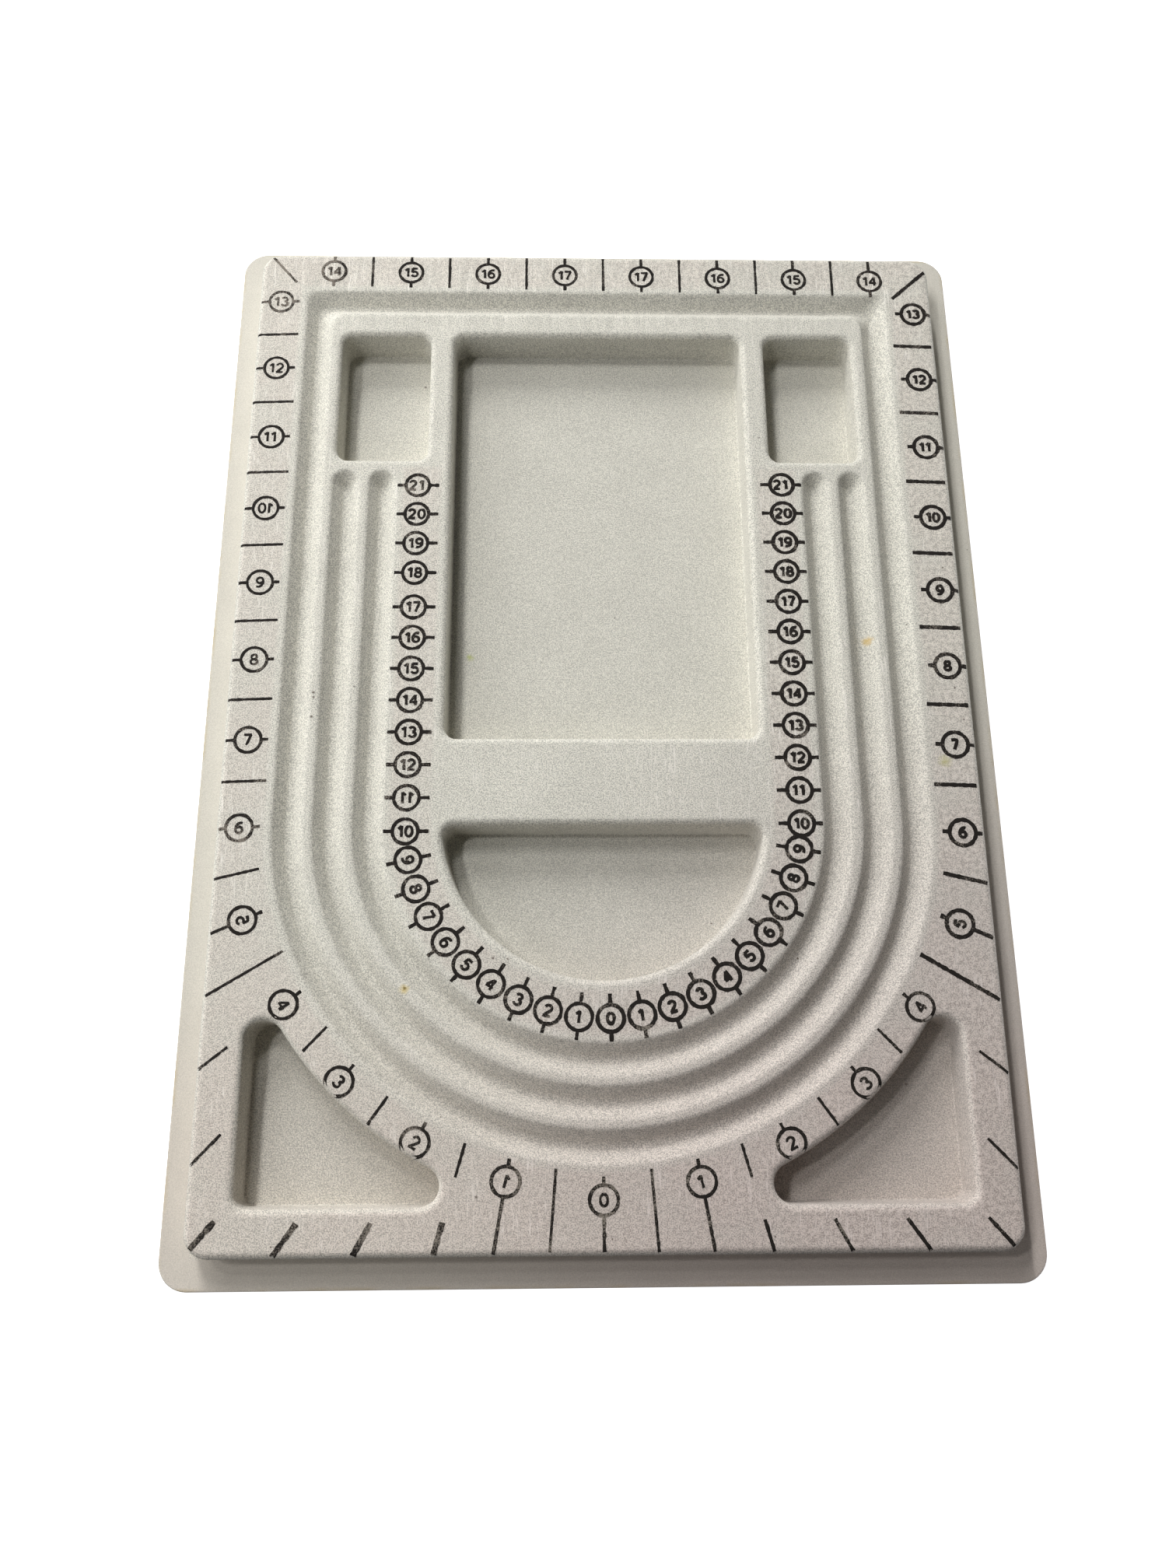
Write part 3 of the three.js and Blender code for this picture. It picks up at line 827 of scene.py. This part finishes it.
def around_bend(degrees, radius):
    """Place on the bend: degrees from straight down, to the right where positive."""
    angle = math.radians(degrees)
    return Vector((radius * math.sin(angle), BEND_Y - radius * math.cos(angle)))


def heading(degrees):
    """Direction at so many degrees from straight down, to the right where positive."""
    angle = math.radians(degrees)
    return Vector((math.sin(angle), -math.cos(angle)))


# Centimetre scale on the inner band: 0 at the middle of the bend, 21 at the far end of both columns
CM_RING = 3.66
CM_LAST = 21
CM_LAST_ON_BEND = 10
CM_RADIUS = 57.1
CM_TURN = 8.77
CM_MIDDLE = 1.5
CM_SIDES = {
    -1: {"x": 56.8, "y": -31.8, "slip_after": 17, "slip": 1.4, "stroke": 1.02},
    1: {"x": 57.4, "y": -29.65, "slip_after": CM_LAST, "slip": 0, "stroke": 1.14},
}
CM_STEP = 10
CM_INNER = 6.7
CM_OUTER = 6.3
CM_BACKWARDS = ((-1, 11),)


def centimetre_scale():
    stamp = Stamp("inner_scale_ink", CM_RING)
    for side, column in CM_SIDES.items():
        for mark in range(0 if side > 0 else 1, CM_LAST + 1):
            backwards = (side, mark) in CM_BACKWARDS
            if mark <= CM_LAST_ON_BEND - 1:
                turn = CM_MIDDLE + side * CM_TURN * mark
                centre = around_bend(turn, CM_RADIUS)
                outward = heading(turn)
            else:
                turn = 0
                y = column["y"] + CM_STEP * (mark - CM_LAST_ON_BEND - 1)
                if mark > column["slip_after"]:
                    y += column["slip"]
                centre = Vector((side * column["x"], y))
                outward = Vector((side, 0))
            stamp.station(centre, outward, CM_INNER, CM_OUTER, column["stroke"], str(mark), turn, backwards)
    return stamp


# Inch scale on the outer band: 0 at the middle of the bend, up both sides to 13, then inwards to 17
INCH = 25.4
INCH_RING = 3.82
INCH_TURN = 14.65
INCH_MIDDLE = -0.5
INCH_LAST_ON_BEND = 6
INCH_LAST_ON_SIDE = 13
INCH_LAST = 17
# Radius of each half-inch mark on the bend, and the lean of its line from straight down, from 0 to 6 in
INCH_RADII = (104.3, 103, 103, 103, 103, 103, 103, 102, 103, 103, 105.5, 104.5, 104.2)
INCH_LEANS = (0, 4.5, 9.5, 15.5, 28.5, 35.3, 41, 43.5, 51.7, 59, 66, 76.5, 86)
INCH_SIDES = {
    -1: {"x": 103.55, "y": 137.0, "step": 25.2, "ring": 0.9, "line": 0.82, "inner": 6.2},
    1: {"x": 104.45, "y": 134.0, "step": 24.95, "ring": 1.18, "line": 1.18, "inner": 7.4},
}
BEND_LINE = 0.8
BEND_RING = 0.94
BOLD_FROM = 9
FAR_RING = 0.98
FAR_LINE = 0.84
SIDE_TILT = 2
LINE_INNER = 5.8
STUB_INNER = 5.9
TRAY_FIRST = 3
TRAY_LAST = 8
ARC_REACH = 3.2
RIM_X = 102.7
RIM_Y = -147.2
OFF_BOARD = 26
RIM_REACH = 14
RIM_FRONT_LAST = 6
RIM_STROKE = {-1: 1.5, 1: 1.0}
FAR_ROW_MIDDLE = 2
FAR_ROW_Y = 148
FAR_ROW_FALL = 0.0125
CORNER_LINES = {-1: ((-99, 144.5), (-111, 158.7)), 1: ((98, 140), (113, 153.7))}
INCH_BACKWARDS = ((-1, 10), (-1, 5), (-1, 1))


def inch_bend(stamp, side, half):
    """One half-inch mark on the bend: its line goes on over the rim beyond the corner tray."""
    turn = INCH_MIDDLE + side * INCH_TURN * half / 2
    centre = around_bend(turn, INCH_RADII[half])
    outward = heading(side * INCH_LEANS[half])
    beyond_tray = TRAY_FIRST <= half <= TRAY_LAST
    bold = side > 0 and half >= BOLD_FROM
    outer = ARC_REACH if beyond_tray else OFF_BOARD
    if half % 2 == 0:
        inches = half // 2
        upright = turn if inches < INCH_LAST_ON_BEND else 0
        backwards = (side, inches) in INCH_BACKWARDS
        stroke = INCH_SIDES[side]["ring"] if bold else BEND_RING
        stamp.station(centre, outward, STUB_INNER, outer, stroke, str(inches), upright, backwards)
    else:
        stroke = INCH_SIDES[side]["line"] if bold else BEND_LINE
        stamp.line(centre - outward * LINE_INNER, centre + outward * outer, stroke)
    if beyond_tray:
        to_side = (RIM_X - abs(centre.x)) / abs(outward.x)
        to_front = (RIM_Y - centre.y) / outward.y
        rim = centre + outward * min(to_side, to_front)
        width = RIM_STROKE[side] if half <= RIM_FRONT_LAST else BEND_LINE
        stamp.line(rim, rim + outward * RIM_REACH, width)


def inch_scale():
    stamp = Stamp("outer_scale_ink", INCH_RING)
    for side, column in INCH_SIDES.items():
        for half in range(0 if side > 0 else 1, 2 * INCH_LAST_ON_BEND + 1):
            inch_bend(stamp, side, half)
        outward = heading(side * (90 - SIDE_TILT))
        for half in range(2 * INCH_LAST_ON_BEND + 1, 2 * INCH_LAST_ON_SIDE + 1):
            inches = half / 2
            down = column["step"] * (INCH_LAST_ON_SIDE - inches)
            centre = Vector((side * column["x"], column["y"] - down))
            if half % 2:
                stamp.line(centre - outward * column["inner"], centre + outward * OFF_BOARD, column["line"])
            else:
                backwards = (side, half // 2) in INCH_BACKWARDS
                stamp.station(
                    centre, outward, STUB_INNER, OFF_BOARD, column["ring"], str(half // 2), 0, backwards)
        for half in range(2 * INCH_LAST_ON_SIDE + 2, 2 * INCH_LAST + 1):
            x = FAR_ROW_MIDDLE + side * (INCH_LAST + 0.5 - half / 2) * INCH
            centre = Vector((x, FAR_ROW_Y - FAR_ROW_FALL * x))
            if half % 2:
                stamp.line(centre - Vector((0, LINE_INNER)), centre + Vector((0, OFF_BOARD)), FAR_LINE)
            else:
                stamp.station(
                    centre, Vector((0, 1)), STUB_INNER, OFF_BOARD, FAR_RING, str(half // 2), 0)
    middle = Vector((FAR_ROW_MIDDLE, FAR_ROW_Y))
    stamp.line(middle - Vector((0, LINE_INNER)), middle + Vector((0, OFF_BOARD)), FAR_LINE)
    for side, (start, end) in CORNER_LINES.items():
        stamp.line(start, end, INCH_SIDES[side]["line"])
    return stamp


# How a rubber stamp prints: soft, slightly wavering lines that lie on whatever the stamp could reach
INK_FLATNESS = 0.08
INK_LIFT = 0.015
STAMP_ABOVE = 100
STAMP_REACH = 0.75
WAVER = 0.09
WAVER_LENGTH = 1.4
SWELL = 0.5
STEP = 0.25
RING_POINTS = 48
LINE_LEVEL = 5
SEED = 7.0


def stamped_lines_tree():
    """A node tree that draws rings on the marked points and strips along the edges, laid on a surface."""
    tree = bpy.data.node_groups.new("stamped_lines", "GeometryNodeTree")
    sockets = {
        "Geometry": ("Geometry",),
        "Int": ("Ring Points", "Line Level"),
        "Float": (
            "Ring Radius", "Step", "Flatness", "Waver", "Waver Scale", "Swell", "Lift", "Lowest", "Seed"),
        "Object": ("Surface",),
        "Material": ("Ink",),
    }
    for kind, names in sockets.items():
        for name in names:
            tree.interface.new_socket(name, in_out="INPUT", socket_type="NodeSocket" + kind)
    tree.interface.new_socket("Geometry", in_out="OUTPUT", socket_type="NodeSocketGeometry")
    given = add_node(tree, "NodeGroupInput").outputs
    named = "GeometryNodeInputNamedAttribute"
    width = add_node(tree, named, {"Name": "width"}, data_type="FLOAT").outputs[0]
    is_ring = add_node(tree, named, {"Name": "ring"}, data_type="BOOLEAN").outputs[0]
    position = add_node(tree, "GeometryNodeInputPosition").outputs[0]
    surface = add_node(tree, "GeometryNodeObjectInfo", {"Object": given["Surface"]}).outputs["Geometry"]

    # Rings and lines, as one set of edges
    circle = add_node(tree, "GeometryNodeMeshCircle", {
        "Vertices": given["Ring Points"], "Radius": given["Ring Radius"]})
    on_points = add_node(tree, "GeometryNodeInstanceOnPoints", {
        "Points": given["Geometry"], "Selection": is_ring, "Instance": circle})
    rings = add_node(tree, "GeometryNodeRealizeInstances", {"Geometry": on_points})
    fine = add_node(tree, "GeometryNodeSubdivideMesh", {
        "Mesh": given["Geometry"], "Level": given["Line Level"]})
    marks = add_node(tree, "GeometryNodeJoinGeometry", {0: fine})
    tree.links.new(rings.outputs[0], marks.inputs[0])

    # The surface under each point, and what lies too low for the stamp
    flat = add_node(tree, VECTOR, {0: position, 1: (1, 1, 0)}, operation="MULTIPLY")
    above = add_node(tree, VECTOR, {0: flat, 1: (0, 0, STAMP_ABOVE * MM)}, operation="ADD")
    drop = add_node(tree, "GeometryNodeRaycast", {
        "Target Geometry": surface, "Source Position": above, "Ray Direction": (0, 0, -1)})
    landed = add_node(tree, "ShaderNodeSeparateXYZ", {0: drop.outputs["Hit Position"]})
    too_low = add_node(tree, "FunctionNodeCompare", {
        0: landed.outputs["Z"], 1: given["Lowest"]}, operation="LESS_THAN")
    printed = add_node(tree, "GeometryNodeDeleteGeometry", {
        "Geometry": marks, "Selection": too_low}, domain="POINT")

    # Wavering strips
    path = add_node(tree, "GeometryNodeMeshToCurve", {"Mesh": printed})
    even = add_node(tree, "GeometryNodeResampleCurve", {
        "Curve": path, "Length": given["Step"]}, mode="LENGTH")
    noise = add_node(tree, NOISE, {
        "Vector": position, "W": given["Seed"], "Scale": given["Waver Scale"],
        "Detail": 1}, noise_dimensions="4D")
    centred = add_node(tree, VECTOR, {
        0: noise.outputs["Color"], 1: (0.5, 0.5, 0.5)}, operation="SUBTRACT")
    level = add_node(tree, VECTOR, {0: centred, 1: (2, 2, 0)}, operation="MULTIPLY")
    shift = add_node(tree, VECTOR, {0: level, "Scale": given["Waver"]}, operation="SCALE")
    wavering = add_node(tree, "GeometryNodeSetPosition", {"Geometry": even, "Offset": shift})
    upright = add_node(tree, "GeometryNodeSetCurveNormal", {"Curve": wavering}, mode="Z_UP")
    swelling = add_node(tree, MATH, {0: noise.outputs["Fac"], 1: 0.5}, operation="SUBTRACT")
    share = add_node(tree, MATH, {0: swelling, 1: given["Swell"], 2: 0.5}, operation="MULTIPLY_ADD")
    half_width = add_node(tree, MATH, {0: share, 1: width}, operation="MULTIPLY")
    profile = add_node(tree, "GeometryNodeCurvePrimitiveQuadrilateral", {
        "Width": 2.0, "Height": given["Flatness"]})
    strips = add_node(tree, "GeometryNodeCurveToMesh", {
        "Curve": upright, "Profile Curve": profile, "Scale": half_width, "Fill Caps": True})

    # Down onto the surface
    height = add_node(tree, "ShaderNodeSeparateXYZ", {0: position})
    lifted = add_node(tree, MATH, {0: height.outputs["Z"], 1: landed.outputs["Z"]}, operation="ADD")
    seated = add_node(tree, MATH, {0: lifted, 1: given["Lift"]}, operation="ADD")
    lay = add_node(tree, "ShaderNodeCombineXYZ", {
        0: height.outputs["X"], 1: height.outputs["Y"], 2: seated})
    laid = add_node(tree, "GeometryNodeSetPosition", {"Geometry": strips, "Position": lay})
    whole = add_node(tree, "GeometryNodeRealizeInstances", {"Geometry": laid})
    inked = add_node(tree, "GeometryNodeSetMaterial", {"Geometry": whole, "Material": given["Ink"]})
    add_node(tree, "NodeGroupOutput", {0: inked})
    return tree


stamped_lines = stamped_lines_tree()


def printed_lines(stamp):
    """Points and faces of a stamp's rings and lines, in metres, on the pile."""
    mesh = bpy.data.meshes.new(stamp.name)
    mesh.from_pydata([Vector(p) * MM for p in stamp.points], stamp.edges, [])
    widths = mesh.attributes.new("width", "FLOAT", "POINT")
    widths.data.foreach_set("value", [w * MM for w in stamp.widths])
    rings = mesh.attributes.new("ring", "BOOLEAN", "POINT")
    rings.data.foreach_set("value", stamp.is_ring)
    plate = bpy.data.objects.new(stamp.name + "_plate", mesh)
    modifier = plate.modifiers.new("stamp", "NODES")
    modifier.node_group = stamped_lines
    values = {
        "Ring Radius": stamp.ring_radius * MM, "Ring Points": RING_POINTS, "Line Level": LINE_LEVEL,
        "Step": STEP * MM, "Flatness": INK_FLATNESS * 2, "Waver": WAVER * MM,
        "Waver Scale": per_mm(WAVER_LENGTH), "Swell": SWELL, "Lift": INK_LIFT * MM,
        "Lowest": (BOARD_HEIGHT - STAMP_REACH) * MM, "Seed": SEED,
        "Surface": flock_piece, "Ink": ink,
    }
    for socket in stamped_lines.interface.items_tree:
        if socket.in_out == "INPUT" and socket.name in values:
            modifier[socket.identifier] = values[socket.name]
    bpy.context.scene.collection.objects.link(plate)
    graph = bpy.context.evaluated_depsgraph_get()
    made = bpy.data.meshes.new_from_object(plate.evaluated_get(graph))
    points = [v.co.copy() for v in made.vertices]
    faces = [tuple(p.vertices) for p in made.polygons]
    bpy.data.objects.remove(plate)
    return points, faces


def stamp_piece(stamp):
    """One scale as a single mesh: its rings, lines and numerals."""
    points, faces = printed_lines(stamp)
    return finished_object(stamp.name, [p / MM for p in points], faces, ink)


inner_scale = stamp_piece(centimetre_scale())
outer_scale = stamp_piece(inch_scale())

# Each piece rides on the board; the two layers stand for their solids
for piece in (flock_piece, shell_piece, inner_scale, outer_scale):
    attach(piece, "root")
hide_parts("flock_layer")
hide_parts("formed_shell")

# White studio floor, matt, just under the board
FLOOR_HALF = 8.0
FLOOR_DROP = -0.2 * MM
PAPER_FINISH = {
    "Base Color": linear("#fafafa"), "Roughness": 1.0, "Specular IOR Level": 0.0,
    "Emission Color": linear("#ffffff"), "Emission Strength": 0.97,
}
PAPER_FIBRE = 3
PAPER_RELIEF = 0.1
PAPER_BUMP = 0.05


def studio_floor():
    material, tree, shader, place = new_material("matt_white_paper", PAPER_FINISH)
    fibre = add_node(tree, NOISE, {"Vector": place, "Scale": per_mm(PAPER_FIBRE), "Detail": 2})
    bump = add_node(tree, "ShaderNodeBump", {
        "Strength": PAPER_BUMP, "Distance": PAPER_RELIEF * MM, "Height": fibre})
    tree.links.new(bump.outputs[0], shader.inputs["Normal"])
    mesh = bpy.data.meshes.new("studio_floor")
    signs = ((-1, -1), (1, -1), (1, 1), (-1, 1))
    corners = [(x * FLOOR_HALF, y * FLOOR_HALF, FLOOR_DROP) for x, y in signs]
    mesh.from_pydata(corners, [], [(0, 1, 2, 3)])
    mesh.materials.append(material)
    floor = bpy.data.objects.new("studio_floor", mesh)
    bpy.context.scene.collection.objects.link(floor)
    floor.visible_diffuse = False


studio_floor()

# Light: soft boxes round the board, a low white card on its right, small lamps high on its left, a long
# narrow window beyond its far left, and a little fill. Each light has its place, width, length and watts.
LIGHTS = {
    "near_left_box": ((-0.55, -0.5, 0.4), 0.5, 0.5, 1.2),
    "far_left_box": ((-0.55, 0.6, 0.4), 0.5, 0.5, 2.7),
    "low_left_box": ((-0.8, 0.0, 0.22), 0.5, 0.5, 1.3),
    "right_box": ((0.7, 0.35, 0.4), 0.5, 0.5, 0.2),
    "right_card": ((0.45, 0.0, 0.025), 0.04, 0.5, 0.7),
    "left_lamp": ((-0.6, 0.1, 1.1), 0.1, 0.1, 2.5),
    "far_left_lamp": ((-0.6, 0.4, 1.1), 0.1, 0.1, 1.4),
    "far_lamp": ((-0.2, 0.3, 0.6), 0.1, 0.1, 0.9),
    "window": ((-0.7, 2.7, 1.6), 0.12, 1.4, 57),
}
FILL = 0.02
BACKDROP = 1.0


def add_light(name, place, width, length, watts):
    """A rectangle of light that faces the board, its length lying towards the far side."""
    panel = bpy.data.lights.new(name, "AREA")
    panel.shape = "RECTANGLE"
    panel.size = width
    panel.size_y = length
    panel.energy = watts
    light = bpy.data.objects.new(name, panel)
    back = place.normalized()
    along = (Vector((0, 1, 0)) - back * back.y).normalized()
    light.matrix_world = Matrix((along.cross(back), along, back)).transposed().to_4x4()
    light.location = place
    bpy.context.scene.collection.objects.link(light)


for light_name, (light_place, width, length, watts) in LIGHTS.items():
    add_light(light_name, Vector(light_place), width, length, watts)

world = bpy.data.worlds.new("studio")
world.use_nodes = True
sky = world.node_tree.nodes["Background"]
ray = add_node(world.node_tree, "ShaderNodeLightPath")
glow = add_node(world.node_tree, RANGE, {0: ray.outputs["Is Camera Ray"], 3: FILL, 4: BACKDROP})
world.node_tree.links.new(glow.outputs[0], sky.inputs["Strength"])
sky.inputs["Color"].default_value = linear("#ffffff")
bpy.context.scene.world = world
bpy.context.scene.view_settings.view_transform = "Standard"

# Camera, as the photograph was taken: from above the near edge, turned a little
CAMERA_AT = Vector((-12.07, -122.59, 340.94)) * MM
CAMERA_AIM = Vector((-4.28, -27.75, 13)) * MM
CAMERA_ROLL = math.radians(4.45)
LENS = 26.96
SENSOR_WIDTH = 36
NEAREST = 10 * MM

camera = bpy.data.cameras.new("camera")
camera.lens = LENS
camera.sensor_width = SENSOR_WIDTH
camera.sensor_fit = "AUTO"
camera.clip_start = NEAREST
viewer = bpy.data.objects.new("camera", camera)
facing = (CAMERA_AIM - CAMERA_AT).to_track_quat("-Z", "Y").to_matrix()
rolled = facing @ Matrix.Rotation(CAMERA_ROLL, 3, "Z")
viewer.matrix_world = Matrix.Translation(CAMERA_AT) @ rolled.to_4x4()
bpy.context.scene.collection.objects.link(viewer)
bpy.context.scene.camera = viewer

bpy.context.view_layer.update()
